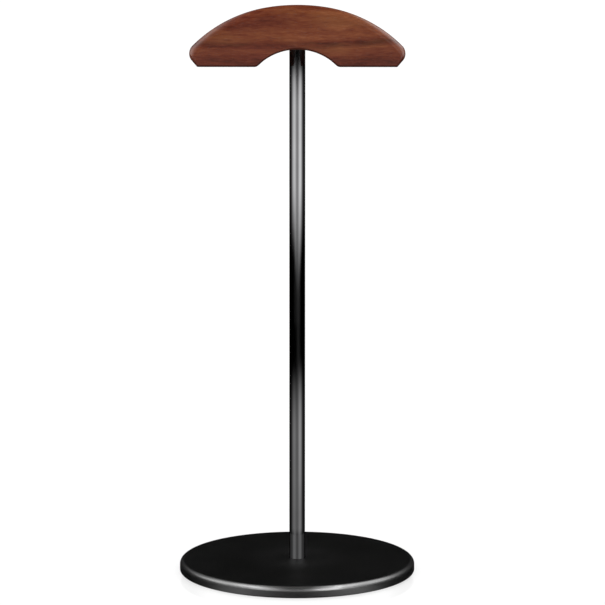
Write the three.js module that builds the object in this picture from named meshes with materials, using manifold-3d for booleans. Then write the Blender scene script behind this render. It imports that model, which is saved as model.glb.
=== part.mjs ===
// Headphone stand: an arched solid-wood headrest on a slim plated steel pole, standing on a round
// steel base. Millimetres, +Z up. The origin is on the table, on the pole's axis, under the middle
// of the foot pad. The headrest is long in X, its flat faces look along -Y (front) and +Y (back).
//
// How it goes together, from the table up:
//   foot_pad        silicone ring, stands the base off the table, held by foot_pad_tape in a recess
//   base_plate      turned steel disc, rounded rim, seat on top for the pole, countersunk hole below
//   base_screw      M4 countersunk screw, up through the base into the plug in the pole's foot
//   pole_tube       thin-walled steel tube, with a threaded plug fixed in each end
//   headrest_stud   M4 grub screw, its lower part in the top plug, its upper part in the insert
//   headrest_insert brass threaded insert in the wood, above the socket that takes the pole's end
//   headrest        one piece of wood: crowned top, rounded noses, flat undersides, arch between them
// Threads are plain cylinders at their major diameter, in slightly wider bores.

import * as THREE from "three";
import { mergeVertices } from "three/addons/utils/BufferGeometryUtils.js";
import Module from "manifold-3d";

const wasm = await Module();
wasm.setup();

const { degToRad, smoothstep } = THREE.MathUtils;

// ---------- driving dimensions ----------
// Names in _R are radii. "Height" is over the table.

// fits, all radial
const THREAD_GAP = 0.05;
const POLE_GAP = 0.1; // pole in its seat and in its socket
const PLUG_GAP = 0.05; // plug in the tube

// M4 threads and keys
const M4_R = 2;
const M4_BORE_R = M4_R + THREAD_GAP;
const TIP_EDGE = 0.5; // chamfer of a screw's lead end
const KEY_DEPTH = 1.75;

// foot pad and its tape
const PAD_OUTER_R = 53.5;
const PAD_INNER_R = 13;
const PAD_TOP = 1.625; // height of the top face
const PAD_EDGE = 0.35; // chamfer of the lower edges
const TAPE_THICKNESS = 0.25;
const TAPE_MARGIN = 0.5; // from the pad's edges to the tape's

// base plate
const BASE_R = 60;
const BASE_BOTTOM = 0.75; // height of the rim's underside
const BASE_TOP = 6.5; // height of the top face
const BASE_TOP_R = 2.6; // rounding of the upper rim
const BASE_BOTTOM_R = 0.7; // rounding of the lower rim
const RECESS_R = PAD_OUTER_R + 0.5;
const RECESS_CEILING = PAD_TOP + TAPE_THICKNESS;
const SEAT_DEPTH = 1.5;
const SEAT_FLOOR = BASE_TOP - SEAT_DEPTH;
const SCREW_HOLE_R = 2.25;
const SINK_R = 4.25; // mouth of the countersink, a 90 degree cone
const SINK_STRAIGHT = 0.125; // straight part below the cone

// base screw
const SCREW_FACE = 2; // height of the head's flat face
const SCREW_LENGTH = 16;
const SCREW_HEAD_R = 4;
const SCREW_HEAD_RIM = 0.2; // straight rim below the head's 90 degree cone
const SCREW_KEY_AF = 2.5; // hex socket, across flats

// pole
const POLE_R = 4;
const POLE_WALL = 1;
const POLE_EDGE = 0.25; // chamfer of the ends
const BORE_R = POLE_R - POLE_WALL;
const POLE_BOTTOM = SEAT_FLOOR;
const POLE_TOP = 271.25; // height, also the end of the headrest's socket
const PLUG_LENGTH = 18;

// headrest insert and stud
const INSERT_R = 3.15;
const INSERT_LENGTH = 8;
const INSERT_TOP = POLE_TOP + INSERT_LENGTH;
const INSERT_CUT = 0.3; // depth of the groove round the middle, and of the end chamfers
const GROOVE_FLOOR = 0.8; // width of the groove's floor
const INSERT_HOLE_END = INSERT_TOP + 2;
const STUD_LENGTH = 20;
const STUD_TOP_EDGE = 0.4; // chamfer at the keyed end
const STUD_KEY_AF = 2; // hex socket, across flats

// headrest outline, right half: crown, flank and nose are tangent arcs. Angles run from +Z to +X.
const HEAD_TOP = 286.875; // height of the crown
const HEAD_BOTTOM = 256.625; // height of the flat undersides
const CROWN_R = 92;
const CROWN_END = degToRad(8.7);
const FLANK_R = 68.3;
const FLANK_END = degToRad(44.5);
const NOSE_R = 5.3;
const NOSE_END = degToRad(131); // a straight cut runs on from here to the underside
const CUT_CORNER_R = 1; // corner between the cut and the flat underside
const ARCH_R = 27.65;
const ARCH_TOP = 265.1; // height of the arch's apex
const ARCH_CORNER_R = 2.6; // where the arch meets a flat underside; more than LOWER_EDGE_R

// headrest depth in Y, and the rounding of its front and back edges
const HEAD_DEPTH = 40;
const EDGE_R = 4; // along the crown, flanks and noses
const LOWER_EDGE_R = 1.25; // along the undersides and the arch
const CUT_EDGE_R = 2; // where the nose meets the cut
const EDGE_TURN = degToRad(66); // where on the nose the edge starts to narrow

const OVERCUT = 1; // how far a cutting tool runs past an open face

// segments round a turned body
const DISC_SEGMENTS = 96;
const POLE_SEGMENTS = 48;
const INSERT_SEGMENTS = 40;
const SCREW_SEGMENTS = 36;

// ---------- materials ----------
function finish(color, { roughness, metalness }) {
  return new THREE.MeshStandardMaterial({ color, roughness, metalness });
}

const walnut = finish(0x73412a, { roughness: 0.5, metalness: 0 });
const blackSatin = finish(0x141414, { roughness: 0.4, metalness: 0.6 });
const darkPlate = finish(0x3c3c3d, { roughness: 0.22, metalness: 1 });
const steel = finish(0x9c9c9a, { roughness: 0.35, metalness: 1 });
const brass = finish(0xb08d45, { roughness: 0.35, metalness: 1 });
const silicone = finish(0x1b1b1c, { roughness: 0.85, metalness: 0 });
const tape = finish(0xd9d6cc, { roughness: 0.8, metalness: 0 });

// ---------- shapes ----------
// A body turned about Z, from a profile of [radius, height] that starts and ends on the axis.
function turned(profile, segments) {
  const points = profile.map(([radius, z]) => new THREE.Vector2(radius, z));
  return new THREE.LatheGeometry(points, segments).rotateX(Math.PI / 2);
}

// The same for a hollow body, whose profile closes on its own first point.
function turnedRing(profile, segments) {
  return turned([...profile, profile[0]], segments);
}

// A rounding in a turned profile. Angles in degrees: 0 is outward, 90 is up.
function rounding({ centre: [centreR, centreZ], radius, from, to, steps }) {
  return Array.from({ length: steps + 1 }, (_, i) => {
    const angle = degToRad(from + ((to - from) * i) / steps);
    return [centreR + radius * Math.cos(angle), centreZ + radius * Math.sin(angle)];
  });
}

// An upright cylinder.
function rod(radius, bottom, top, segments = POLE_SEGMENTS) {
  return new THREE.CylinderGeometry(radius, radius, top - bottom, segments)
    .rotateX(Math.PI / 2)
    .translate(0, 0, (bottom + top) / 2);
}

// An upright hexagonal prism for a key socket.
function hexagon(acrossFlats, bottom, top) {
  return rod(acrossFlats / Math.sqrt(3), bottom, top, 6);
}

// ---------- solids ----------
// A manifold from a closed geometry, whichever way its faces look.
function solid(geometry) {
  const bare = geometry.clone();
  bare.deleteAttribute("normal");
  bare.deleteAttribute("uv");
  const merged = mergeVertices(bare, 1e-4);

  // merging leaves triangles without area, on the axis and at repeated points
  const triangles = [];
  for (let i = 0; i < merged.index.count; i += 3) {
    const [a, b, c] = merged.index.array.slice(i, i + 3);
    if (a !== b && b !== c && c !== a) triangles.push([a, b, c]);
  }

  const build = (faces) =>
    new wasm.Manifold(
      new wasm.Mesh({
        numProp: 3,
        vertProperties: new Float32Array(merged.attributes.position.array),
        triVerts: new Uint32Array(faces.flat()),
      }),
    );
  const body = build(triangles);
  return body.volume() < 0 ? build(triangles.map(([a, b, c]) => [a, c, b])) : body;
}

// The blank with the tools cut out of it, all given as geometries.
function cut(blank, ...tools) {
  const body = tools.reduce((rest, tool) => rest.subtract(solid(tool)), solid(blank));
  const mesh = body.getMesh();
  const geometry = new THREE.BufferGeometry();
  geometry.setAttribute("position", new THREE.BufferAttribute(mesh.vertProperties.slice(), 3));
  geometry.setIndex(new THREE.BufferAttribute(new Uint32Array(mesh.triVerts), 1));
  geometry.computeVertexNormals();
  return geometry;
}

function piece(name, geometry, material) {
  const mesh = new THREE.Mesh(geometry, material);
  mesh.name = name;
  return mesh;
}

function group(...children) {
  return new THREE.Group().add(...children);
}

// ---------- base ----------
function basePlate() {
  const upperRim = rounding({
    centre: [BASE_R - BASE_TOP_R, BASE_TOP - BASE_TOP_R],
    radius: BASE_TOP_R,
    from: 90,
    to: 0,
    steps: 6,
  });
  const lowerRim = rounding({
    centre: [BASE_R - BASE_BOTTOM_R, BASE_BOTTOM + BASE_BOTTOM_R],
    radius: BASE_BOTTOM_R,
    from: 0,
    to: -90,
    steps: 3,
  });
  const disc = turned(
    [[0, BASE_TOP], ...upperRim, ...lowerRim, [0, BASE_BOTTOM]],
    DISC_SEGMENTS,
  );
  const recess = rod(RECESS_R, BASE_BOTTOM - OVERCUT, RECESS_CEILING, DISC_SEGMENTS);
  const seat = rod(POLE_R + POLE_GAP, SEAT_FLOOR, BASE_TOP + OVERCUT);

  // countersink and clearance hole
  const coneBottom = RECESS_CEILING + SINK_STRAIGHT;
  const screwHole = turned(
    [
      [0, RECESS_CEILING - OVERCUT],
      [SINK_R, RECESS_CEILING - OVERCUT],
      [SINK_R, coneBottom],
      [SCREW_HOLE_R, coneBottom + (SINK_R - SCREW_HOLE_R)],
      [SCREW_HOLE_R, SEAT_FLOOR + OVERCUT],
      [0, SEAT_FLOOR + OVERCUT],
    ],
    POLE_SEGMENTS,
  );
  return piece("base_plate", cut(disc, recess, seat, screwHole), blackSatin);
}

function footPad() {
  const profile = [
    [PAD_INNER_R, PAD_EDGE],
    [PAD_INNER_R + PAD_EDGE, 0],
    [PAD_OUTER_R - PAD_EDGE, 0],
    [PAD_OUTER_R, PAD_EDGE],
    [PAD_OUTER_R, PAD_TOP],
    [PAD_INNER_R, PAD_TOP],
  ];
  return piece("foot_pad", turnedRing(profile, DISC_SEGMENTS), silicone);
}

function footPadTape() {
  const inner = PAD_INNER_R + TAPE_MARGIN;
  const outer = PAD_OUTER_R - TAPE_MARGIN;
  const profile = [
    [inner, PAD_TOP],
    [outer, PAD_TOP],
    [outer, RECESS_CEILING],
    [inner, RECESS_CEILING],
  ];
  return piece("foot_pad_tape", turnedRing(profile, DISC_SEGMENTS), tape);
}

function baseScrew() {
  const tip = SCREW_FACE + SCREW_LENGTH;
  const coneBottom = SCREW_FACE + SCREW_HEAD_RIM;
  const blank = turned(
    [
      [0, SCREW_FACE],
      [SCREW_HEAD_R, SCREW_FACE],
      [SCREW_HEAD_R, coneBottom],
      [M4_R, coneBottom + (SCREW_HEAD_R - M4_R)],
      [M4_R, tip - TIP_EDGE],
      [M4_R - TIP_EDGE, tip],
      [0, tip],
    ],
    SCREW_SEGMENTS,
  );
  const key = hexagon(SCREW_KEY_AF, SCREW_FACE - OVERCUT, SCREW_FACE + KEY_DEPTH);
  return piece("base_screw", cut(blank, key), steel);
}

// ---------- pole ----------
function poleTube() {
  const profile = [
    [BORE_R, POLE_BOTTOM],
    [POLE_R - POLE_EDGE, POLE_BOTTOM],
    [POLE_R, POLE_BOTTOM + POLE_EDGE],
    [POLE_R, POLE_TOP - POLE_EDGE],
    [POLE_R - POLE_EDGE, POLE_TOP],
    [BORE_R, POLE_TOP],
  ];
  return piece("pole_tube", turnedRing(profile, POLE_SEGMENTS), darkPlate);
}

function polePlug(name, bottom) {
  const outer = BORE_R - PLUG_GAP;
  const top = bottom + PLUG_LENGTH;
  const profile = [
    [M4_BORE_R, bottom],
    [outer, bottom],
    [outer, top],
    [M4_BORE_R, top],
  ];
  return piece(name, turnedRing(profile, POLE_SEGMENTS), steel);
}

// ---------- headrest outline ----------
// arc centres, [x, z]
const CROWN_CENTRE = [0, HEAD_TOP - CROWN_R];
const FLANK_CENTRE = along(CROWN_CENTRE, CROWN_R - FLANK_R, CROWN_END);
const NOSE_CENTRE = along(FLANK_CENTRE, FLANK_R - NOSE_R, FLANK_END);
const ARCH_CENTRE = [0, ARCH_TOP - ARCH_R];

// the arch's corner arc touches the underside, and the arch's circle from outside
const cornerRise = HEAD_BOTTOM + ARCH_CORNER_R - ARCH_CENTRE[1];
const cornerReach = Math.sqrt((ARCH_R + ARCH_CORNER_R) ** 2 - cornerRise ** 2);
const ARCH_CORNER_CENTRE = [cornerReach, HEAD_BOTTOM + ARCH_CORNER_R];
const ARCH_TOUCH = Math.atan2(cornerReach, cornerRise);

// The point at a distance from [x, z], at an angle from +Z towards +X.
function along([x, z], distance, angle) {
  return [x + distance * Math.sin(angle), z + distance * Math.cos(angle)];
}

// Points on an arc. The radius may be a function of the angle. An arc that runs on from the one
// before starts at step 1.
function arc(centre, radius, { from, to, steps, first = 0 }) {
  const points = [];
  for (let i = first; i <= steps; i++) {
    const angle = from + ((to - from) * i) / steps;
    const distance = typeof radius === "function" ? radius(angle) : radius;
    points.push(along(centre, distance, angle));
  }
  return points;
}

// How far the outline is drawn in at a depth behind the front face, for a rounded edge.
function drawnIn(edgeRadius, depth) {
  if (depth >= edgeRadius) return 0;
  return edgeRadius - Math.sqrt(edgeRadius ** 2 - (edgeRadius - depth) ** 2);
}

// Where the cut under the nose, moved in by an inset, meets the underside moved in by the same.
function cutMeetsUnderside(inset) {
  const [x, noseZ] = along(NOSE_CENTRE, NOSE_R - inset, NOSE_END);
  const z = HEAD_BOTTOM + inset;
  return [x + ((noseZ - z) * Math.cos(NOSE_END)) / Math.sin(NOSE_END), z];
}

// The rounded corner between cut and underside; once its radius is used up it stays a point.
function cutCorner(inset) {
  const steps = 3;
  if (inset >= CUT_CORNER_R) return Array(steps + 1).fill(cutMeetsUnderside(inset));
  const centre = cutMeetsUnderside(CUT_CORNER_R);
  return arc(centre, CUT_CORNER_R - inset, { from: NOSE_END, to: Math.PI, steps });
}

// The outline at a depth behind the front face, as a closed loop of [x, z] that always has the
// same number of points. Outward curves lose what they are drawn in, the arch gains it.
function outline(depth) {
  const upper = drawnIn(EDGE_R, depth);
  const lower = drawnIn(LOWER_EDGE_R, depth);
  const noseRadius = (angle) => {
    const turn = smoothstep(angle, EDGE_TURN, NOSE_END);
    return NOSE_R - drawnIn(EDGE_R + (CUT_EDGE_R - EDGE_R) * turn, depth);
  };
  const crown = { from: 0, to: CROWN_END, steps: 3 };
  const flank = { from: CROWN_END, to: FLANK_END, steps: 13, first: 1 };
  const nose = { from: FLANK_END, to: NOSE_END, steps: 13, first: 1 };
  const archCorner = { from: Math.PI, to: Math.PI + ARCH_TOUCH, steps: 4 };
  const arch = { from: ARCH_TOUCH, to: 0, steps: 12, first: 1 };
  const half = [
    ...arc(CROWN_CENTRE, CROWN_R - upper, crown),
    ...arc(FLANK_CENTRE, FLANK_R - upper, flank),
    ...arc(NOSE_CENTRE, noseRadius, nose),
    ...cutCorner(lower),
    ...arc(ARCH_CORNER_CENTRE, ARCH_CORNER_R - lower, archCorner),
    ...arc(ARCH_CENTRE, ARCH_R + lower, arch),
  ];
  const mirrored = half.slice(1, -1).reverse().map(([x, z]) => [-x, z]);
  return [...half, ...mirrored];
}

// ---------- headrest ----------
// Depths of the outlines behind a flat face, round the rounded edge.
const EDGE_DEPTHS = [0, 0.095, 0.366, 0.772, LOWER_EDGE_R, 1.85, 2.77, EDGE_R];

// Triangles over a flat end of the block, as indices into its loop.
function capTriangles(loop, facesFront) {
  // repeated points are left out
  const kept = [...loop.keys()].filter((j) => {
    if (j === 0) return true;
    const [[x, z], [lastX, lastZ]] = [loop[j], loop[j - 1]];
    return Math.hypot(x - lastX, z - lastZ) >= 1e-3;
  });
  const contour = kept.map((j) => new THREE.Vector2(...loop[j]));
  return THREE.ShapeUtils.triangulateShape(contour, []).flatMap((face) => {
    const area = THREE.ShapeUtils.area(face.map((corner) => contour[corner]));
    if (area > 0 !== facesFront) face.reverse();
    return face.map((corner) => kept[corner]);
  });
}

// The uncut block: outlines stacked along Y, from the front face to the back face.
function headrestBlock() {
  const front = EDGE_DEPTHS.map((depth) => ({
    y: depth - HEAD_DEPTH / 2,
    points: outline(depth),
  }));
  const back = front.map(({ y, points }) => ({ y: -y, points })).reverse();
  const rings = [...front, ...back];
  const positions = rings.flatMap(({ y, points }) => points.flatMap(([x, z]) => [x, y, z]));

  const count = rings[0].points.length;
  const backStart = (rings.length - 1) * count;
  const index = [];
  for (let start = 0; start < backStart; start += count) {
    for (let j = 0; j < count; j++) {
      const here = start + j;
      const next = start + ((j + 1) % count);
      index.push(here, next, here + count);
      index.push(next, next + count, here + count);
    }
  }
  index.push(...capTriangles(rings[0].points, true));
  const backCap = capTriangles(rings.at(-1).points, false);
  index.push(...backCap.map((j) => backStart + j));

  const geometry = new THREE.BufferGeometry();
  geometry.setAttribute("position", new THREE.Float32BufferAttribute(positions, 3));
  geometry.setIndex(index);
  return geometry;
}

function headrest() {
  const socket = rod(POLE_R + POLE_GAP, HEAD_BOTTOM, POLE_TOP);
  const insertHole = rod(INSERT_R + THREAD_GAP, POLE_TOP - OVERCUT, INSERT_HOLE_END);
  return piece("headrest", cut(headrestBlock(), socket, insertHole), walnut);
}

function headrestInsert() {
  const middle = POLE_TOP + INSERT_LENGTH / 2;
  const floorHalf = GROOVE_FLOOR / 2;
  const mouthHalf = floorHalf + INSERT_CUT;
  const profile = [
    [M4_BORE_R, POLE_TOP],
    [INSERT_R - INSERT_CUT, POLE_TOP],
    [INSERT_R, POLE_TOP + INSERT_CUT],
    [INSERT_R, middle - mouthHalf],
    [INSERT_R - INSERT_CUT, middle - floorHalf],
    [INSERT_R - INSERT_CUT, middle + floorHalf],
    [INSERT_R, middle + mouthHalf],
    [INSERT_R, INSERT_TOP - INSERT_CUT],
    [INSERT_R - INSERT_CUT, INSERT_TOP],
    [M4_BORE_R, INSERT_TOP],
  ];
  return piece("headrest_insert", turnedRing(profile, INSERT_SEGMENTS), brass);
}

// The grub screw ends flush with the insert's top.
function headrestStud() {
  const bottom = INSERT_TOP - STUD_LENGTH;
  const blank = turned(
    [
      [0, bottom],
      [M4_R - TIP_EDGE, bottom],
      [M4_R, bottom + TIP_EDGE],
      [M4_R, INSERT_TOP - STUD_TOP_EDGE],
      [M4_R - STUD_TOP_EDGE, INSERT_TOP],
      [0, INSERT_TOP],
    ],
    SCREW_SEGMENTS,
  );
  const key = hexagon(STUD_KEY_AF, INSERT_TOP - KEY_DEPTH, INSERT_TOP + OVERCUT);
  return piece("headrest_stud", cut(blank, key), steel);
}

// ---------- assembly ----------
const base = group(basePlate(), footPad(), footPadTape(), baseScrew());
const pole = group(
  poleTube(),
  polePlug("pole_bottom_plug", POLE_BOTTOM),
  polePlug("pole_top_plug", POLE_TOP - PLUG_LENGTH),
);
const head = group(headrest(), headrestInsert(), headrestStud());
const stand = group(base, pole, head);

export default stand;
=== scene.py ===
# Headphone stand: a walnut headrest on a plated pole in a round black base, built over its CAD frame.
# Lengths are metres unless a name or comment says mm. The pole stands along +Z over the origin,
# the floor is z = 0, the headrest runs along X, and the front faces -Y, towards the camera.
# Each piece is sized from its CAD node's box, so it stands exactly where its node does.
import math

import bmesh
import bpy
from mathutils import Euler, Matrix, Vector


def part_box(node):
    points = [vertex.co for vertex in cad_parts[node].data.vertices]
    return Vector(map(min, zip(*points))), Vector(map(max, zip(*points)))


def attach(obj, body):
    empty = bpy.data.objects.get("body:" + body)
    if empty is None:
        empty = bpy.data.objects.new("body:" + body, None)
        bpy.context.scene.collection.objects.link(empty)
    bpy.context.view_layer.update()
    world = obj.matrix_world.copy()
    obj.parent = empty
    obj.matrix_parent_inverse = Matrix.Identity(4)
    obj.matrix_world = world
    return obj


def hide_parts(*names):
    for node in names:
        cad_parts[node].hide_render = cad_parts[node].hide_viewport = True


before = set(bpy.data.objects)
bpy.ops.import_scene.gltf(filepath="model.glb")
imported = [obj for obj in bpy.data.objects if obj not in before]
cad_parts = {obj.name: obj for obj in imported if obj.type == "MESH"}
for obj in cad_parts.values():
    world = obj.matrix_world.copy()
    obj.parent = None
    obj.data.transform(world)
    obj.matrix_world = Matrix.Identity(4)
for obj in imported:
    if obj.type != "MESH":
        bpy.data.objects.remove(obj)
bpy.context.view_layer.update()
scene = bpy.context.scene

MM = 0.001
BODY = "root"
POLE_SEAT_R = 4.1 * MM  # sockets for the pole, in the base and in the headrest

head_low, head_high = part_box("headrest")
tube_low, tube_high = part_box("pole_tube")
base_low, base_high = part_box("base_plate")


# ------------------------------------------------------------------ mesh helpers
def smoothstep(start, end, value):
    t = min(1.0, max(0.0, (value - start) / (end - start)))
    return t * t * (3 - 2 * t)


def weld(bm, distance):
    bmesh.ops.remove_doubles(bm, verts=bm.verts, dist=distance)
    bmesh.ops.dissolve_degenerate(bm, dist=1e-8, edges=bm.edges)


def shade(bm, sharp_deg):
    """Smooth faces, with sharp edges where the surface turns by more than sharp_deg."""
    for face in bm.faces:
        face.smooth = True
    for edge in bm.edges:
        edge.smooth = not (
            len(edge.link_faces) != 2 or edge.calc_face_angle(0.0) > math.radians(sharp_deg)
        )


def mesh_object(name, points, faces, sharp_deg):
    mesh = bpy.data.meshes.new(name)
    bm = bmesh.new()
    verts = [bm.verts.new(point) for point in points]
    for face in faces:
        bm.faces.new([verts[i] for i in dict.fromkeys(face)])  # a quad at the axis is a triangle
    weld(bm, 2e-7)
    bmesh.ops.recalc_face_normals(bm, faces=bm.faces)
    shade(bm, sharp_deg)
    bm.to_mesh(mesh)
    bm.free()
    ob = bpy.data.objects.new(name, mesh)
    scene.collection.objects.link(ob)
    return ob


def lathe(name, profile, segments, sharp_deg, closed=True):
    """A body turned about Z from [(radius, z)]. Radius 0 is one vertex."""
    points, rows = [], []
    for radius, z in profile:
        if radius < 1e-9:
            rows.append([len(points)] * segments)
            points.append((0.0, 0.0, z))
        else:
            rows.append(range(len(points), len(points) + segments))
            for k in range(segments):
                angle = 2 * math.pi * k / segments
                points.append((radius * math.cos(angle), radius * math.sin(angle), z))
    faces = []
    for i in range(len(rows) if closed else len(rows) - 1):
        row, above = rows[i], rows[(i + 1) % len(rows)]
        for k in range(segments):
            m = (k + 1) % segments
            faces.append((row[k], row[m], above[m], above[k]))
    return mesh_object(name, points, faces, sharp_deg)


def rounding(centre_r, centre_z, radius, start, end, steps):
    """Profile points on an arc, angles in degrees: 0 points outwards and 90 up."""
    points = []
    for i in range(steps + 1):
        angle = math.radians(start + (end - start) * i / steps)
        points.append((centre_r + radius * math.cos(angle), centre_z + radius * math.sin(angle)))
    return points


def cut(ob, cutter, sharp_deg):
    """Takes the cutter out of the object and removes the cutter."""
    modifier = ob.modifiers.new("cut", "BOOLEAN")
    modifier.operation = "DIFFERENCE"
    modifier.solver = "EXACT"
    modifier.object = cutter
    bpy.context.view_layer.update()
    depsgraph = bpy.context.evaluated_depsgraph_get()
    mesh = bpy.data.meshes.new_from_object(ob.evaluated_get(depsgraph))
    ob.modifiers.clear()
    ob.data = mesh
    bpy.data.objects.remove(cutter)
    bm = bmesh.new()
    bm.from_mesh(mesh)
    weld(bm, 1e-7)
    shade(bm, sharp_deg)
    bm.to_mesh(mesh)
    bm.free()


def set_material(ob, material):
    ob.data.materials.clear()
    ob.data.materials.append(material)


def piece(ob, node, material):
    set_material(ob, material)
    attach(ob, BODY)
    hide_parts(node)


# ------------------------------------------------------------------ node helpers
class Value:
    """An output of a node. Arithmetic on it adds nodes to the same tree."""

    def __init__(self, nodes, socket):
        self.nodes = nodes
        self.socket = socket

    def __add__(self, other):
        return self.nodes.math("ADD", self, other)

    def __radd__(self, other):
        return self.nodes.math("ADD", other, self)

    def __sub__(self, other):
        return self.nodes.math("SUBTRACT", self, other)

    def __rsub__(self, other):
        return self.nodes.math("SUBTRACT", other, self)

    def __mul__(self, other):
        return self.nodes.math("MULTIPLY", self, other)

    def __abs__(self):
        return self.nodes.math("ABSOLUTE", self)

    def ease(self, over, to=(0.0, 1.0)):
        """Goes smoothly between the two ends of to, while the value goes between those of over."""
        inputs = {"Value": self, "From Min": over[0], "From Max": over[1]}
        inputs.update({"To Min": to[0], "To Max": to[1]})
        kind = "ShaderNodeMapRange"
        return self.nodes.add(kind, inputs, "Result", interpolation_type="SMOOTHSTEP", clamp=True)

    def near(self, centre, full, none):
        """1 where the value is within full of the centre, fading to 0 at none."""
        return abs(self - centre).ease(over=(none, full))

    def swing(self, amount):
        """A 0 to 1 noise centred on 0, with this full range."""
        return (self - 0.5) * amount

    def blend(self, start, end):
        """From start to end, as this value goes from 0 to 1."""
        return self.nodes.add("ShaderNodeMix", {0: self, 2: start, 3: end}, data_type="FLOAT")

    def xyz(self):
        return tuple(self.nodes.outputs("ShaderNodeSeparateXYZ", {0: self}).values())

    def scaled(self, per_mm):
        inputs = {0: self, "Scale": per_mm}
        return self.nodes.add("ShaderNodeVectorMath", inputs, operation="SCALE")

    def noise(self, detail=2.0, roughness=0.5, distortion=0.0):
        inputs = {"Vector": self, "Scale": 1.0, "Detail": detail}
        inputs.update({"Roughness": roughness, "Distortion": distortion})
        return self.nodes.add("ShaderNodeTexNoise", inputs, "Fac")

    def cells(self):
        """Distance to the nearest of scattered points, and that point's random colour."""
        found = self.nodes.outputs("ShaderNodeTexVoronoi", {"Vector": self, "Scale": 1.0})
        return found["Distance"], found["Color"]


class Nodes:
    """The node tree of a material or world. Inputs are Values or plain numbers and colours."""

    def __init__(self, block, output_kind="ShaderNodeOutputMaterial"):
        self.block = block
        block.use_nodes = True
        self.tree = block.node_tree
        self.tree.nodes.clear()
        self.output = self.tree.nodes.new(output_kind)

    def put(self, value, socket):
        if isinstance(value, Value):
            self.tree.links.new(value.socket, socket)
        else:
            socket.default_value = value

    def node(self, kind, inputs, props):
        """A new node; inputs are keyed by socket name or number."""
        node = self.tree.nodes.new(kind)
        for name, value in props.items():
            setattr(node, name, value)
        for key, value in inputs.items():
            self.put(value, node.inputs[key])
        return node

    def add(self, kind, inputs={}, output=0, **props):
        return Value(self, self.node(kind, inputs, props).outputs[output])

    def outputs(self, kind, inputs={}):
        """All outputs of a new node, by name."""
        return {s.name: Value(self, s) for s in self.node(kind, inputs, {}).outputs}

    def math(self, operation, *operands):
        return self.add("ShaderNodeMath", dict(enumerate(operands)), operation=operation)

    def length(self, x, y):
        return self.math("SQRT", x * x + y * y)

    def join(self, x, y, z):
        return self.add("ShaderNodeCombineXYZ", {0: x, 1: y, 2: z})

    def grey(self, value):
        return self.join(value, value, value)

    def mix(self, colour, other, amount):
        return self.add("ShaderNodeMix", {0: amount, 6: colour, 7: other}, 2, data_type="RGBA")

    def ramp(self, value, stops):
        node = self.node("ShaderNodeValToRGB", {0: value}, {})
        elements = node.color_ramp.elements
        while len(elements) > 1:
            elements.remove(elements[-1])
        elements[0].position, elements[0].color = stops[0]
        for position, colour in stops[1:]:
            elements.new(position).color = colour
        return Value(self, node.outputs[0])

    def bump(self, height, strength):
        """A normal from a height in mm."""
        inputs = {"Strength": strength, "Distance": MM, "Height": height}
        return self.add("ShaderNodeBump", inputs)

    def principled(self, **inputs):
        named = {name.replace("_", " "): value for name, value in inputs.items()}
        return self.add("ShaderNodeBsdfPrincipled", named)

    def emission(self, strength):
        return self.add("ShaderNodeEmission", {"Strength": strength})

    def mix_shader(self, amount, first, second):
        return self.add("ShaderNodeMixShader", {0: amount, 1: first, 2: second})

    def position_mm(self):
        return self.add("ShaderNodeTexCoord", output="Object").scaled(1 / MM)

    def finish(self, shader):
        self.put(shader, self.output.inputs["Surface"])
        return self.block


def srgb(red, green, blue):
    """A linear colour from 0 to 255 sRGB levels."""

    def linear(level):
        level /= 255.0
        return level / 12.92 if level <= 0.04045 else ((level + 0.055) / 1.055) ** 2.4

    return (linear(red), linear(green), linear(blue), 1.0)


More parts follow.
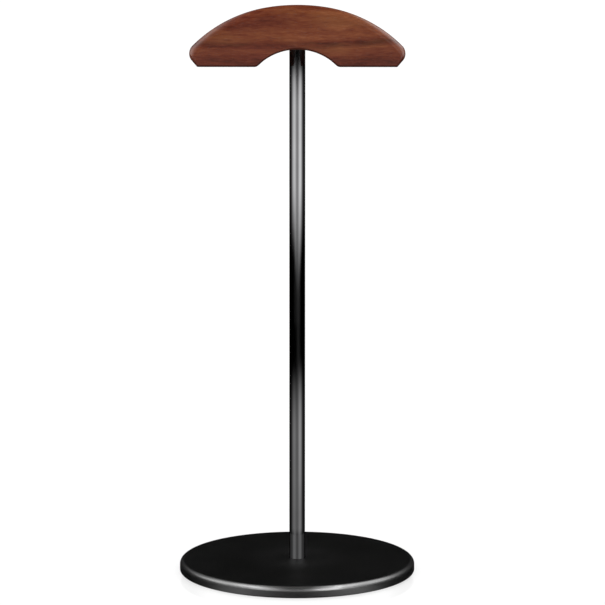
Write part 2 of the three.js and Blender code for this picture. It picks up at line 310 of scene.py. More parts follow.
# ------------------------------------------------------------------ materials
# Coordinates inside the materials are in mm.
def walnut_material():
    nodes = Nodes(bpy.data.materials.new("walnut"))
    x, y, z = nodes.position_mm().xyz()
    z = z - head_low.z / MM  # height over the underside, 0 to about 30
    depth = y + head_high.y / MM  # behind the front face, 0 to about 40

    def field(up, size, seed, detail=3.0, roughness=0.55, distortion=0.0):
        """Noise centred on 0, with cells of size mm along x, y and up; seed shifts it."""
        across = x * (1.0 / size[0]) + seed
        back = y * (1.0 / size[1]) + seed * 0.37
        cell = nodes.join(across, back, up * (1.0 / size[2]))
        return cell.noise(detail, roughness, distortion) - 0.5

    # the layers wander, so that no line runs straight, and tilt towards the back
    slow = field(z, (62.0, 40.0, 30.0), seed=3.1, detail=2.0)
    medium = field(z, (17.0, 20.0, 9.0), seed=11.7, detail=2.0)
    layer = z + slow * 7.0 + (medium * 2.6 + depth * 0.11)

    # the figure: layers of early and late wood, seen where the block cuts them
    late = x * -0.030 + (layer - 11.4)  # height over a slanting late layer
    patchy = 0.75 + field(layer, (26.0, 30.0, 8.0), seed=5.5) * 1.6
    band = late.near(0.0, full=0.5, none=2.7) * patchy
    light = late.near(5.6, full=1.6, none=4.6) * x.near(4.0, full=34.0, none=60.0)
    # the tone darkens towards the underside
    low = (z + medium * 2.0).ease(over=(7.5, 3.5))
    patch = layer.near(21.0, full=1.6, none=5.2) * x.near(-20.0, full=9.0, none=22.0)
    bright = layer.near(24.0, full=2.0, none=6.5) * x.near(25.0, full=7.0, none=24.0)
    # darker patches near both ends; the right one is partly the wood's tone and partly painted shade
    # that tempers the sheen on that flank
    left_end = layer.near(18.0, full=2.0, none=7.0) * x.near(-42.0, full=6.0, none=20.0)
    right_end = layer.near(18.0, full=2.0, none=8.0) * x.near(40.0, full=6.0, none=18.0)
    rib_pitch = 2.35
    rib = nodes.math("SINE", layer * (2 * math.pi / rib_pitch) + slow * 9.0)
    # clouds, streaks and fibres, each finer than the one before
    cloud = field(layer, (30.0, 22.0, 6.0), seed=21.0)
    streak = field(
        layer, (15.0, 3.2, 1.5), seed=31.0, detail=4.0, roughness=0.62, distortion=0.3
    )
    fibre = field(layer, (5.5, 0.8, 0.62), seed=43.0, roughness=0.62)
    # short light and dark waves across the grain, as in figured wood
    curl = field(layer, (3.4, 9.0, 5.0), seed=57.0, detail=2.0, roughness=0.5, distortion=0.5)
    # the tone starts from the middle, and each part lightens (+) or darkens (-) it
    tone = 0.50
    for part, strength in (
        (band, -0.38), (light, 0.14), (low, -0.30), (patch, -0.16), (bright, 0.12),
        (left_end, -0.16), (right_end, -0.13), (rib, 0.022),
        (cloud, 0.55), (streak, 0.75), (fibre, 0.80), (curl, 0.20),
    ):
        tone = tone + part * strength
    colour = nodes.ramp(
        tone,
        [
            (0.04, srgb(66, 22, 6)),
            (0.28, srgb(87, 34, 17)),
            (0.48, srgb(100, 46, 25)),
            (0.66, srgb(112, 57, 31)),
            (0.82, srgb(125, 69, 41)),
            (0.97, srgb(139, 85, 51)),
        ],
    )
    # hue wanders between red and ochre
    hue = field(layer, (34.0, 20.0, 8.0), seed=71.0)
    ochre = hue.ease(over=(0.0, 0.25), to=(0.0, 0.30))
    red = hue.ease(over=(-0.02, -0.25), to=(0.0, 0.28))
    colour = nodes.mix(colour, srgb(126, 78, 42), amount=ochre)
    colour = nodes.mix(colour, srgb(134, 84, 48), amount=bright * 0.25)
    colour = nodes.mix(colour, srgb(98, 42, 30), amount=red)
    # pores: short dark flecks drawn out along the grain, in crowds
    distance, chance = nodes.join(x * 0.26, y * 2.6, layer * 2.6).cells()
    crowd = nodes.join(x * 0.05, y * 0.4, layer * 0.4).noise()
    kept = (chance.xyz()[0] + crowd * 0.5).ease(over=(0.72, 0.95))
    pore = distance.ease(over=(0.34, 0.06)) * kept
    # larger and sparser flecks, bent by the curl
    distance, chance = nodes.join(x * 0.10 + curl * 0.5, y * 1.1, layer * 1.15).cells()
    fleck = distance.ease(over=(0.30, 0.05)) * chance.xyz()[1].ease(over=(0.76, 0.95))
    colour = nodes.mix(colour, srgb(60, 22, 10), amount=pore * 0.40)
    colour = nodes.mix(colour, srgb(72, 26, 10), amount=fleck * 0.62)
    # end grain on the noses soaks up more finish; undersides are less polished, and get painted shade
    normal_x, normal_y, normal_z = nodes.outputs("ShaderNodeNewGeometry")["Normal"].xyz()
    end_grain = abs(normal_x).ease(over=(0.55, 1.0), to=(0.0, 0.22))
    colour = nodes.mix(colour, srgb(70, 34, 22), amount=end_grain)
    under = normal_z.ease(over=(-0.04, -0.36))
    # painted shade: the colour darkens as the surface faces further down
    shadow = normal_z.ease(over=(-0.12, -0.62), to=(0.0, 0.66))
    colour = nodes.mix(colour, srgb(44, 20, 14), amount=shadow)
    # height in mm: pores are sunk under the lacquer, which follows the fibres faintly
    wobble = nodes.join(x * 0.05, y * 0.16, z * 0.16).noise()
    height = pore * -0.04 + fibre * 0.010 + fleck * -0.03 + wobble * 0.08
    # the crown is rubbed dull where a headband rests
    crown = normal_z.ease(over=(0.72, 0.94)) * abs(normal_y).ease(over=(0.40, 0.10))
    roughness = 0.235 + fibre * 0.07 + pore * 0.16 + wobble.swing(0.05)
    roughness = roughness + under * 0.35 + crown * 0.26
    shader = nodes.principled(
        Base_Color=colour,
        Roughness=roughness,
        Metallic=0.0,
        IOR=1.5,
        Specular_IOR_Level=under.blend(0.33, 0.12) * crown.blend(1.0, 0.35),
        Normal=nodes.bump(height, strength=0.6),
    )
    return nodes.finish(shader)


def gunmetal_material():
    nodes = Nodes(bpy.data.materials.new("gunmetal_plate"))
    position = nodes.position_mm()
    x, y, z = position.xyz()
    # fine lines left by polishing round the tube, and a slight unevenness of the plating
    angle = nodes.math("ARCTAN2", y, x)
    lines = nodes.join(angle * 0.35, z * 9.0, 0.0).noise(detail=3.0, roughness=0.7)
    along = nodes.join(x * 1.6, y * 1.6, z * 0.02).noise()
    cloud = position.scaled(per_mm=0.05).noise(detail=3.0)
    distance, chance = position.scaled(per_mm=0.9).cells()
    mark = distance.ease(over=(0.10, 0.02)) * chance.xyz()[0].ease(over=(0.90, 0.97))
    grey = cloud.ease(over=(0.3, 0.7)).blend(0.128, 0.142)
    colour = nodes.join(grey, grey, grey * 1.015)  # a trace of blue
    # the deburred ends are rubbed brighter
    from_end = nodes.math("MINIMUM", z - tube_low.z / MM, tube_high.z / MM - z)
    rubbed = from_end.ease(over=(0.35, 0.05), to=(0.0, 0.5))
    shader = nodes.principled(
        Base_Color=nodes.mix(colour, (0.42, 0.41, 0.40, 1.0), amount=rubbed),
        Metallic=1.0,
        Roughness=0.052 + lines.swing(0.03) + cloud.swing(0.03) + mark * 0.05,
        Normal=nodes.bump(lines * 0.0005 + along * 0.004, strength=0.35),
    )
    return nodes.finish(shader)


def base_material():
    nodes = Nodes(bpy.data.materials.new("black_satin_steel"))
    position = nodes.position_mm()
    x, y, z = position.xyz()
    outer, top = base_high.x / MM, base_high.z / MM
    # very fine even grain of a baked satin coat, with faint large-scale unevenness
    fine = position.scaled(per_mm=5.5).noise(detail=3.0, roughness=0.6)
    grit, _ = position.scaled(per_mm=3.2).cells()
    cloud = position.scaled(per_mm=0.045).noise(detail=3.0)
    radius = nodes.length(x, y)
    ring = nodes.join(radius * 1.3, 0.0, 0.0).noise(detail=3.0, roughness=0.6)
    grey = cloud.ease(over=(0.3, 0.7)).blend(0.106, 0.118) + grit.swing(0.012)
    # painted highlight: the colour of the upper rim is brightened, unevenly along x; the rim is also
    # a little smoother
    rim = radius.ease(over=(outer - 1.9, outer - 0.9)) * z.ease(over=(top - 2.4, top - 1.2))
    aside = abs(x)
    rim_highlight_gain = aside.ease(over=(14.0, 34.0), to=(3.3, 0.20))
    highlight_spots = aside.near(15.0, full=3.0, none=9.5)
    rim_highlight_gain = rim_highlight_gain + highlight_spots * x.ease(over=(-8.0, 8.0), to=(1.1, 2.6))
    rim_highlight_gain = rim_highlight_gain * aside.ease(over=(1.0, 10.0), to=(0.74, 1.0))
    # painted shade: the flat top's colour darkens away from the pole
    flat = z.ease(over=(top - 0.25, top - 0.02)) * rim.ease(over=(0.2, 0.0))
    flat = flat * radius.ease(over=(12.0, 30.0), to=(0.0, 0.32))
    # painted highlight on the rim and painted shade on the flat top, put into the colour
    grey = grey * (1.0 + rim * rim_highlight_gain) * (1.0 - flat)
    # at a flat angle the coat reflects little; it reflects more near the pole, a painted fade of the
    # pole's reflection
    rub = radius.ease(over=(5.0, 26.0), to=(0.50, 0.27))
    coat = nodes.principled(
        Base_Color=nodes.grey(grey),
        Metallic=0.99,
        Roughness=0.36 + fine.swing(0.08) + cloud.swing(0.05) - rim * 0.04,
        Specular_Tint=nodes.grey(rub),
        Normal=nodes.bump(fine * 0.008 + grit * 0.006 + ring * 0.002, strength=0.5),
    )
    # painted light: the plate's flat top glows for reflections only, so the pole's foot, mirroring
    # the plate, picks up the panels' light off it in the same two soft stripes
    geometry = nodes.outputs("ShaderNodeNewGeometry")
    incoming_x, incoming_y, _ = geometry["Incoming"].xyz()
    azimuth = abs(nodes.math("ARCTAN2", incoming_x * -1.0, incoming_y))

    def by_azimuth(start_deg, end_deg, to):
        return azimuth.ease(over=(math.radians(start_deg), math.radians(end_deg)), to=to)

    lit = by_azimuth(0, 38, to=(0.34, 0.82)) * by_azimuth(46, 84, to=(1.0, 0.28))
    # painted glow, seen only by reflections
    glow = nodes.emission(lit * by_azimuth(84, 150, to=(1.0, 0.0)))
    glossy_ray = nodes.outputs("ShaderNodeLightPath")["Is Glossy Ray"]
    facing_up = geometry["Normal"].xyz()[2].ease(over=(0.93, 0.99))
    return nodes.finish(nodes.mix_shader(glossy_ray * facing_up, coat, glow))


def turned_metal(nodes, lines, cloud, dark, light, unevenness):
    """Metal with fine turning lines, clouded between two colours; unevenness is of roughness."""
    shader = nodes.principled(
        Base_Color=nodes.mix(dark, light, amount=cloud.ease(over=(0.3, 0.7))),
        Metallic=1.0,
        Roughness=0.30 + lines.swing(unevenness),
        Normal=nodes.bump(lines * 0.01, strength=0.5),
    )
    return nodes.finish(shader)


def steel_material():
    nodes = Nodes(bpy.data.materials.new("zinc_steel"))
    position = nodes.position_mm()
    x, y, z = position.xyz()
    rings = nodes.join(nodes.length(x, y) * 8.0, z * 8.0, 0.0)
    return turned_metal(
        nodes,
        lines=rings.noise(detail=3.0, roughness=0.6),
        cloud=position.scaled(per_mm=0.6).noise(detail=3.0, roughness=0.55),
        dark=(0.52, 0.52, 0.50, 1.0),
        light=(0.66, 0.65, 0.62, 1.0),
        unevenness=0.22,
    )


def brass_material():
    nodes = Nodes(bpy.data.materials.new("brass"))
    position = nodes.position_mm()
    rings = nodes.join(0.0, 0.0, position.xyz()[2] * 9.0)
    return turned_metal(
        nodes,
        lines=rings.noise(detail=3.0, roughness=0.6),
        cloud=position.scaled(per_mm=0.5).noise(detail=3.0, roughness=0.55),
        dark=(0.60, 0.42, 0.16, 1.0),
        light=(0.72, 0.54, 0.24, 1.0),
        unevenness=0.2,
    )


def silicone_material():
    nodes = Nodes(bpy.data.materials.new("silicone"))
    position = nodes.position_mm()
    fine = position.scaled(per_mm=4.0).noise(detail=3.0, roughness=0.6)
    dust = position.scaled(per_mm=0.35).noise(detail=4.0, roughness=0.6)
    dusty = dust.ease(over=(0.45, 0.8), to=(0.0, 0.5))
    clean_colour, dust_colour = (0.012, 0.012, 0.0125, 1.0), (0.03, 0.03, 0.03, 1.0)
    shader = nodes.principled(
        Base_Color=nodes.mix(clean_colour, dust_colour, amount=dusty),
        Metallic=0.0,
        Roughness=0.72 + fine.swing(0.2),
        IOR=1.43,
        Normal=nodes.bump(fine * 0.03, strength=0.6),
    )
    return nodes.finish(shader)


def tape_material():
    nodes = Nodes(bpy.data.materials.new("tape"))
    fibre = nodes.position_mm().scaled(per_mm=1.4).noise(detail=4.0, roughness=0.65)
    dark, light = (0.60, 0.57, 0.49, 1.0), (0.74, 0.72, 0.65, 1.0)
    shader = nodes.principled(
        Base_Color=nodes.mix(dark, light, amount=fibre),
        Metallic=0.0,
        Roughness=0.55 + fibre * 0.2,
        Normal=nodes.bump(fibre * 0.03, strength=0.4),
    )
    return nodes.finish(shader)


WALNUT = walnut_material()
GUNMETAL = gunmetal_material()
BLACK = base_material()
STEEL = steel_material()
BRASS = brass_material()
SILICONE = silicone_material()
TAPE = tape_material()

# ------------------------------------------------------------------ headrest
# The same outline as the CAD solid, drawn finely: crown, flank and nose are tangent arcs, then
# a cut under the nose, a flat underside, a small corner and the arch. Sizes in mm, placed by
# the node's box. Angles are from straight up towards +X.
HEAD_TOP, HEAD_BOTTOM = head_high.z / MM, head_low.z / MM
HEAD_HALF_DEPTH = head_high.y / MM
CROWN_R, CROWN_END = 92.0, math.radians(8.7)
FLANK_R, FLANK_END = 68.3, math.radians(44.5)
NOSE_R, NOSE_END = 5.3, math.radians(131.0)
CUT_CORNER_R = 1.0
ARCH_R, ARCH_RISE = 27.65, 8.475
ARCH_CORNER_R = 2.6
# rounding of the front and back edges: along the top and the noses, where a nose meets its cut,
# and underneath
EDGE_R, CUT_EDGE_R, LOWER_EDGE_R = 4.0, 2.0, 1.25
EDGE_TURN = math.radians(66.0)  # where on the nose the rounding starts to narrow
FACE_LOOPS = [-0.35, -0.12]  # depths of the support loops on the flat faces
LOOP_GAP = 0.12  # from a rounding to the next loop of the straight middle
HEAD_SHARP_DEG = 40.0


def drawn_in(radius, depth):
    """How far an edge rounded to radius draws the outline in, at a depth behind the face."""
    if depth < 0:  # support loops on the flat face itself
        return radius - depth
    return radius - math.sqrt(radius * radius - (radius - depth) ** 2) if depth < radius else 0.0


def round_to(centre, radius, angle):
    return (centre[0] + radius * math.sin(angle), centre[1] + radius * math.cos(angle))


def outline_arc(centre, radius, start, end, steps, first=1):
    return [
        round_to(centre, radius, start + (end - start) * i / steps)
        for i in range(first, steps + 1)
    ]


def head_loop(depth):
    """The outline [(x, z)] at a depth behind the face, from the top round both halves."""
    upper = drawn_in(EDGE_R, depth)
    lower = drawn_in(LOWER_EDGE_R, depth)
    crown = (0.0, HEAD_TOP - CROWN_R)
    half = outline_arc(crown, CROWN_R - upper, 0, CROWN_END, steps=12, first=0)
    flank = round_to(crown, CROWN_R - FLANK_R, CROWN_END)
    half += outline_arc(flank, FLANK_R - upper, CROWN_END, FLANK_END, steps=44)
    nose = round_to(flank, FLANK_R - NOSE_R, FLANK_END)
    nose_steps = 32
    for i in range(1, nose_steps + 1):  # round the nose the rounded edge narrows
        angle = FLANK_END + (NOSE_END - FLANK_END) * i / nose_steps
        turned = smoothstep(EDGE_TURN, NOSE_END, angle)
        edge = EDGE_R + (CUT_EDGE_R - EDGE_R) * turned
        half.append(round_to(nose, NOSE_R - drawn_in(edge, depth), angle))

    def cut_at(inset):
        """Where the cut and the underside meet, both drawn in by inset."""
        z = HEAD_BOTTOM + inset
        start_x, start_z = round_to(nose, NOSE_R - inset, NOSE_END)
        return (start_x + (start_z - z) * math.cos(NOSE_END) / math.sin(NOSE_END), z)

    corner_steps = 6
    if lower < CUT_CORNER_R:
        corner, radius = cut_at(CUT_CORNER_R), CUT_CORNER_R - lower
        half += outline_arc(corner, radius, NOSE_END, math.pi, corner_steps, first=0)
    else:
        half += [cut_at(lower)] * (corner_steps + 1)
    arch = (0, HEAD_BOTTOM + ARCH_RISE - ARCH_R)
    rise = HEAD_BOTTOM + ARCH_CORNER_R - arch[1]
    reach = ARCH_R + ARCH_CORNER_R
    corner_x = math.sqrt(reach * reach - rise**2)
    touch = math.atan2(corner_x, rise)
    start_x = half[-1][0]
    for i in range(1, 8):  # the flat underside, in even steps
        half.append((start_x + (corner_x - start_x) * i / 8, HEAD_BOTTOM + lower))
    corner, radius = (corner_x, HEAD_BOTTOM + ARCH_CORNER_R), ARCH_CORNER_R - lower
    half += outline_arc(corner, radius, math.pi, math.pi + touch, steps=8, first=0)
    half += outline_arc(arch, ARCH_R + lower, touch, 0, steps=36)
    return half + [(-x, z) for x, z in reversed(half[1:-1])]


def edge_depths(radius, first, steps):
    return [radius * (1 - math.cos(math.radians(90 * i / steps))) for i in range(first, steps + 1)]


def headrest_block():
    edges = edge_depths(EDGE_R, 1, 14) + edge_depths(LOWER_EDGE_R, 2, 7) + [LOWER_EDGE_R + 0.1]
    depths = FACE_LOOPS + [0.0] + sorted(edges)
    flat = HEAD_HALF_DEPTH - EDGE_R
    # rings as (depth behind the nearer face, y), from front to back
    front = [(depth, max(depth, 0.0) - HEAD_HALF_DEPTH) for depth in depths]
    middle = [-flat + LOOP_GAP] + [-flat + 2 * flat * i / 9 for i in range(1, 9)]
    middle.append(flat - LOOP_GAP)
    rings = front + [(EDGE_R, y) for y in middle] + [(depth, -y) for depth, y in reversed(front)]
    points = [(x * MM, y * MM, z * MM) for depth, y in rings for x, z in head_loop(depth)]
    count = len(points) // len(rings)
    last = len(rings) - 1
    faces = []
    for i in range(last):
        for j in range(count):
            k = (j + 1) % count
            faces.append((i * count + j, i * count + k, (i + 1) * count + k, (i + 1) * count + j))
    faces.append(tuple(range(count)))
    faces.append(tuple(range(last * count, (last + 1) * count)))
    return mesh_object("headrest_walnut", points, faces, HEAD_SHARP_DEG)


def socket_cutter():
    """The pole's socket, wider below the arch, with a narrower hole for the insert above it."""
    insert_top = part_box("headrest_insert")[1].z
    arch_top = head_low.z + ARCH_RISE * MM
    wide_r = POLE_SEAT_R + 0.5 * MM
    hole_r = 3.2 * MM
    bottom, top = head_low.z - 4 * MM, insert_top + 2 * MM
    profile = [
        (0, bottom),
        (wide_r, bottom),
        (wide_r, arch_top - 0.2 * MM),
        (POLE_SEAT_R, arch_top + 0.3 * MM),
        (POLE_SEAT_R, tube_high.z),
        (hole_r, tube_high.z),
        (hole_r, top),
        (0, top),
    ]
    return lathe("socket_cutter", profile, 96, HEAD_SHARP_DEG, closed=False)


headrest = headrest_block()
cut(headrest, socket_cutter(), HEAD_SHARP_DEG)
piece(headrest, "headrest", WALNUT)


# ------------------------------------------------------------------ pole
def pole():
    radius, bore_r = tube_high.x, 3.0 * MM
    low, high = tube_low.z, tube_high.z
    deburr, bore_ease = 0.25 * MM, 0.15 * MM
    gap = 0.08 * MM  # from a rounding to its support loop
    profile = (
        [(bore_r + bore_ease, low)]
        + rounding(radius - deburr, low + deburr, deburr, -90, 0, steps=5)
        + [(radius, low + deburr + gap)]
        + [(radius, low + (high - low) * i / 12) for i in range(1, 12)]
        + [(radius, high - deburr - gap)]
        + rounding(radius - deburr, high - deburr, deburr, 0, 90, steps=5)
        + [(bore_r + bore_ease, high), (bore_r, high - bore_ease), (bore_r, low + bore_ease)]
    )
    return lathe("pole_tube_plated", profile, 128, sharp_deg=50.0)


piece(pole(), "pole_tube", GUNMETAL)


# ------------------------------------------------------------------ base plate
def base_plate():
    radius, low, high = base_high.x, base_low.z, base_high.z
    top_round, low_round = 2.6 * MM, 0.7 * MM
    recess_r, recess_z = 54.0 * MM, 1.875 * MM  # the recess underneath, and its ceiling
    hole_r, mouth_r = 2.25 * MM, 4.25 * MM  # the screw's hole and its 45 degree countersink
    cone_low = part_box("base_screw")[0].z
    cone_top = cone_low + (mouth_r - hole_r)
    ease = 0.12 * MM  # broken edges
    gap = 0.06 * MM  # from a rounding to its support loop
    profile = (
        [(hole_r, cone_top), (hole_r, tube_low.z)]
        + [(POLE_SEAT_R, tube_low.z), (POLE_SEAT_R, high - ease)]
        + [(POLE_SEAT_R + ease, high), (POLE_SEAT_R + 0.5 * MM, high)]
        + [(radius * part, high) for part in (0.15, 0.3, 0.45, 0.6, 0.75, 0.88)]
        + [(radius - top_round - 0.3 * MM, high), (radius - top_round - gap, high)]
        + rounding(radius - top_round, high - top_round, top_round, 90, 0, steps=16)
        + [(radius, high - top_round - gap), (radius, low + low_round + gap)]
        + rounding(radius - low_round, low + low_round, low_round, 0, -90, steps=8)
        + [(radius - low_round - gap, low), (recess_r + 2 * ease, low), (recess_r + ease, low)]
        + [(recess_r, low + ease), (recess_r, recess_z), (mouth_r, recess_z), (mouth_r, cone_low)]
    )
    return lathe("base_plate_coated", profile, 256, sharp_deg=35.0)


piece(base_plate(), "base_plate", BLACK)


# ------------------------------------------------------------------ foot pad
def foot_pad():
    pad_low, pad_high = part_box("foot_pad")
    outer_r, inner_r = pad_high.x, 13.0 * MM
    edge = 0.35 * MM
    profile = (
        [(inner_r, pad_high.z)]
        + rounding(inner_r + edge, pad_low.z + edge, edge, 180, 270, steps=6)
        + rounding(outer_r - edge, pad_low.z + edge, edge, -90, 0, steps=6)
        + [(outer_r, pad_high.z)]
    )
    return lathe("foot_pad_silicone", profile, 192, sharp_deg=50.0)


piece(foot_pad(), "foot_pad", SILICONE)

# ------------------------------------------------------------------ fixings, as in the CAD
for node_name, node_material in (
    ("foot_pad_tape", TAPE),
    ("base_screw", STEEL),
    ("pole_bottom_plug", STEEL),
    ("pole_top_plug", STEEL),
    ("headrest_insert", BRASS),
    ("headrest_stud", STEEL),
):
    set_material(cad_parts[node_name], node_material)

# ------------------------------------------------------------------ studio brightness
# Azimuths are degrees round the stand: 0 is straight in front, + to the right.


def fall(start, end, value):
    return 1 - smoothstep(start, end, value)


def hump(rise_start, rise_end, fall_start, fall_end, value):
    return smoothstep(rise_start, rise_end, value) * fall(fall_start, fall_end, value)


def two_panels(azimuth, centre, left, right):
    """Brightness of a soft panel on each side, and of a dimmer gap between them."""
    aside = abs(azimuth)
    side = right if azimuth > 0 else left
    fade = fall(40, 91, aside) if azimuth > 0 else fall(42, 103, aside)
    t = smoothstep(4, 40, aside)
    return (centre * (1 - t) + side * t) * fade + 0.03 * side * fall(110, 160, aside)


def thin_gap(azimuth):
    """A little light between the panels and the floor, right of the middle."""
    return 0.065 * fall(0, 42, abs(azimuth - 16))


def tent_glow(azimuth, z):
    aside = abs(azimuth)
    left = azimuth < 0
    # the lower panels start higher at the sides, and end under a dark belt
    climb = 0.045 * smoothstep(0, 60, aside) if left else 0.050 * smoothstep(10, 90, aside)
    full = 0.124 + 0.022 * min(1.0, aside / 40)
    rise = smoothstep(0.022 + climb, full, z)
    t = smoothstep(0, 30, aside)
    belt = smoothstep(0.203 + 0.023 * t, 0.2515 - 0.003 * t, z)
    dimmed = 1 - 0.22 * t * smoothstep(0.190, 0.236, z)
    lower = two_panels(azimuth, centre=1.28, left=3.6, right=4.3) * rise * (1 - belt) * dimmed
    lower += 0.05 * fall(25, 60, aside) * fall(0.20, 0.24, z)
    # the upper panels: low in the middle, taller towards the sides
    if left:
        upper = 3.9 * hump(20, 88, 92, 128, aside)
    else:
        upper = 3.9 * hump(25, 98, 112, 146, aside)
        upper *= 1 - 0.72 * smoothstep(96, 112, aside) * fall(0.60, 0.85, z)
    top = 0.90 + 0.75 * smoothstep(20, 80, aside)
    upper *= fall(top - 0.35, top + 0.55, z)
    # faint light in front, then high up at the sides, low on the left and at the back
    strip = (0.5 if left or azimuth == 0 else 1.4) * hump(8, 20, 34, 48, aside)
    front = 0.03 + strip * hump(0.30, 0.34, 0.60, 0.95, z)
    extra = front * fall(30, 60, aside) * hump(0.30, 0.34, 0.75, 0.95, z)
    extra += 1.4 * hump(92, 124, 136, 160, aside) * hump(0.80, 1.10, 1.6, 2.2, z)
    if left:
        extra += 0.85 * hump(100, 118, 136, 158, aside) * hump(0.30, 0.38, 0.66, 0.90, z)
    back = 0.22 * hump(110, 134, 154, 170, aside) * hump(0.45, 0.65, 1.1, 1.6, z)
    above_belt = smoothstep(0.305, 0.350, z)
    return lower + (upper + extra + back) * above_belt + thin_gap(azimuth) * fall(0.05, 0.10, z)


def floor_glow(azimuth, radius):
    aside = abs(azimuth)
    # painted shade: the floor's glow as reflections see it dims towards the base
    close = fall(0.14, 0.32, radius)  # the floor dims towards the base
    left, right = 1.05 * (1 - 0.12 * close), 1.80 * (1 - 0.30 * close)
    far = two_panels(azimuth, 0.60, left, right) + 0.015
    # painted shade round the base's rim: dark in front and at the back, lighter to the front sides
    rim = (0.02 + 0.74 * smoothstep(0, 44, aside)) * (1 - 0.97 * smoothstep(30, 58, aside))
    t = smoothstep(0.078, 0.100, radius)
    to_right = smoothstep(-20, 20, azimuth)  # the light reaches further on the right
    reach = fall(0.385 + 0.035 * to_right, 0.70 + 0.03 * to_right, radius)
    return (rim * (1 - t) + far * t) * reach + thin_gap(azimuth) * smoothstep(0.42, 0.60, radius)


# ------------------------------------------------------------------ studio tent and floor
TENT_R = 0.95
COLUMNS = 180
AZIMUTHS = [-180 + 360 * k / COLUMNS for k in range(COLUMNS)]
TENT_HEIGHTS = [0.004 * i for i in range(75)] + [0.3 + 1.9 * (i / 46) ** 1.3 for i in range(47)]
FLOOR_RADII = [
    0.03, 0.05, 0.056, 0.06, 0.064, 0.068, 0.073, 0.08, 0.09, 0.1, 0.115, 0.13, 0.15, 0.18, 0.22,
    0.27, 0.33, 0.38, 0.42, 0.46, 0.5, 0.54, 0.58, 0.62, 0.66, 0.7, 0.75, 0.9, 1.5, 3, 8, 20,
]


def at_azimuth(azimuth, radius, z):
    angle = math.radians(azimuth)
    return (radius * math.sin(angle), -radius * math.cos(angle), z)


def stage_mesh(name, points, faces, glow):
    mesh = bpy.data.meshes.new(name)
    mesh.from_pydata(points, [], faces)
    mesh.update()
    mesh.attributes.new("glow", "FLOAT", "POINT").data.foreach_set("value", glow)
    ob = bpy.data.objects.new(name, mesh)
    scene.collection.objects.link(ob)
    return ob


def painted_glow(nodes):
    return nodes.emission(nodes.add("ShaderNodeAttribute", output="Fac", attribute_name="glow"))


def build_tent():
    """A tent of soft panels that only reflections see."""
    points = [at_azimuth(azimuth, TENT_R, z) for z in TENT_HEIGHTS for azimuth in AZIMUTHS]
    glow = [tent_glow(azimuth, z) for z in TENT_HEIGHTS for azimuth in AZIMUTHS]
    faces = []
    for i in range(len(TENT_HEIGHTS) - 1):
        row, above = i * COLUMNS, (i + 1) * COLUMNS
        for k in range(COLUMNS):
            m = (k + 1) % COLUMNS
            faces.append((row + k, row + m, above + m, above + k))
    tent = stage_mesh("studio_panels", points, faces, glow)
    nodes = Nodes(bpy.data.materials.new("studio_panels"))
    tent.data.materials.append(nodes.finish(painted_glow(nodes)))
    for ray in ("camera", "diffuse", "shadow", "transmission", "volume_scatter"):
        setattr(tent, "visible_" + ray, False)


def floor_material():
    """Pale and matt, near white to the camera, and the painted glow to reflections."""
    nodes = Nodes(bpy.data.materials.new("studio_floor"))
    glow = painted_glow(nodes)
    rays = nodes.outputs("ShaderNodeLightPath")
    pale = nodes.grey(rays["Is Camera Ray"].blend(0.55, 0.82))
    diffuse = nodes.add("ShaderNodeBsdfDiffuse", {"Color": pale})
    lit = nodes.mix_shader(rays["Is Glossy Ray"], diffuse, glow)
    # painted reflection: beside the base's ends the white that the camera sees is darkened into a
    # pale image of the base's wall, found by following the mirrored ray up to just under the base's
    # top
    geometry = nodes.outputs("ShaderNodeNewGeometry")
    x, y, _ = geometry["Position"].xyz()
    toward_x, toward_y, toward_z = geometry["Incoming"].xyz()
    slope = nodes.math("MAXIMUM", toward_z, 0.02)
    climb = nodes.math("DIVIDE", base_high.z - 1.2 * MM, slope)
    reach = nodes.length(x - toward_x * climb, y - toward_y * climb)
    flat = nodes.math("MAXIMUM", nodes.length(toward_x, toward_y), 0.05)
    aside = nodes.math("DIVIDE", abs(x * toward_y - y * toward_x), flat)
    on_wall = reach.ease(over=(base_high.x + 0.5 * MM, base_high.x - 1.5 * MM))
    painted_mirror = on_wall * aside.ease(over=(0.043, 0.055))
    # painted reflection: the camera's white darkens where the base's wall would be mirrored
    white = nodes.emission(1.02 - painted_mirror * 0.12)
    return nodes.finish(nodes.mix_shader(rays["Is Camera Ray"] * 0.75, lit, white))


def build_floor():
    points, glow = [(0, 0, 0)], [floor_glow(0, 0)]
    for radius in FLOOR_RADII:
        points += [at_azimuth(azimuth, radius, 0.0) for azimuth in AZIMUTHS]
        glow += [floor_glow(azimuth, radius) for azimuth in AZIMUTHS]
    faces = [(0, 1 + k, 1 + (k + 1) % COLUMNS) for k in range(COLUMNS)]
    for i in range(len(FLOOR_RADII) - 1):
        ring, outer = 1 + i * COLUMNS, 1 + (i + 1) * COLUMNS
        for k in range(COLUMNS):
            m = (k + 1) % COLUMNS
            faces.append((ring + k, outer + k, outer + m, ring + m))
    floor = stage_mesh("studio_floor", points, faces, glow)
    floor.data.materials.append(floor_material())


build_tent()
build_floor()


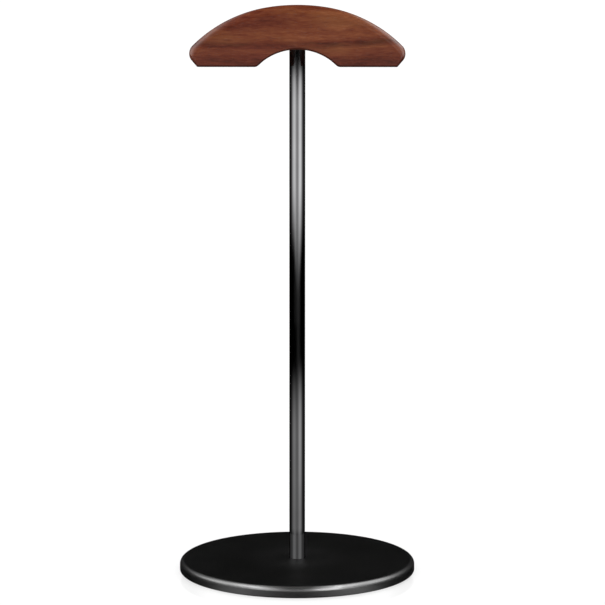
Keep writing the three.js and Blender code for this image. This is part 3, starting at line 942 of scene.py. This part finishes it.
# ------------------------------------------------------------------ world and lights
def build_world():
    """White to the camera, a soft fill to matt surfaces and dark to reflections."""
    world = bpy.data.worlds.new("studio")
    scene.world = world
    nodes = Nodes(world, "ShaderNodeOutputWorld")
    # only rays that the surfaces send out look for it, each kind its own part
    world.cycles.sampling_method = "NONE"

    def background(level, strength):
        inputs = {"Color": (level, level, level, 1), "Strength": strength}
        return nodes.add("ShaderNodeBackground", inputs)

    rays = nodes.outputs("ShaderNodeLightPath")
    white = background(1, strength=1.05)
    fill = background(1, strength=0.62)
    dark = background(0, strength=0.0)
    unseen = nodes.mix_shader(rays["Is Glossy Ray"], fill, dark)
    nodes.finish(nodes.mix_shader(rays["Is Camera Ray"], unseen, white))


def sun(name, azimuth, elevation, strength, angle):
    """A soft sun that reflections don't see; angles in degrees."""
    data = bpy.data.lights.new(name, "SUN")
    data.energy = strength
    data.angle = math.radians(angle)
    ob = bpy.data.objects.new(name, data)
    scene.collection.objects.link(ob)
    up = math.radians(elevation)
    toward = Vector(at_azimuth(azimuth, math.cos(up), math.sin(up)))
    ob.rotation_mode = "QUATERNION"
    ob.rotation_quaternion = toward.to_track_quat("Z", "Y")
    ob.visible_glossy = False


build_world()
sun("key_left", azimuth=-38, elevation=42, strength=1.05, angle=55)
sun("key_right", azimuth=38, elevation=42, strength=1.15, angle=55)
sun("back_top", azimuth=180, elevation=55, strength=0.95, angle=60)

# ------------------------------------------------------------------ camera
PITCH_DOWN = math.radians(7.0656)
YAW_RIGHT = math.radians(0.1409546)
ROLL = math.radians(0.037)
camera_data = bpy.data.cameras.new("camera")
camera = bpy.data.objects.new("camera", camera_data)
scene.collection.objects.link(camera)
camera_data.sensor_width = 36.0  # mm, as is the lens
camera_data.lens = 128.193322
camera_data.clip_start, camera_data.clip_end = 0.05, 60.0
camera.location = (0.0, -1.080, 0.271974)
aim = Euler((math.pi / 2 - PITCH_DOWN, 0.0, -YAW_RIGHT), "XYZ").to_matrix()
aim = aim @ Euler((0.0, 0.0, ROLL), "XYZ").to_matrix()
camera.rotation_mode = "XYZ"
camera.rotation_euler = aim.to_euler("XYZ")
scene.camera = camera

scene.view_settings.view_transform = "Standard"
scene.view_settings.look = "None"
scene.view_settings.exposure = 0.0
scene.view_settings.gamma = 1.0
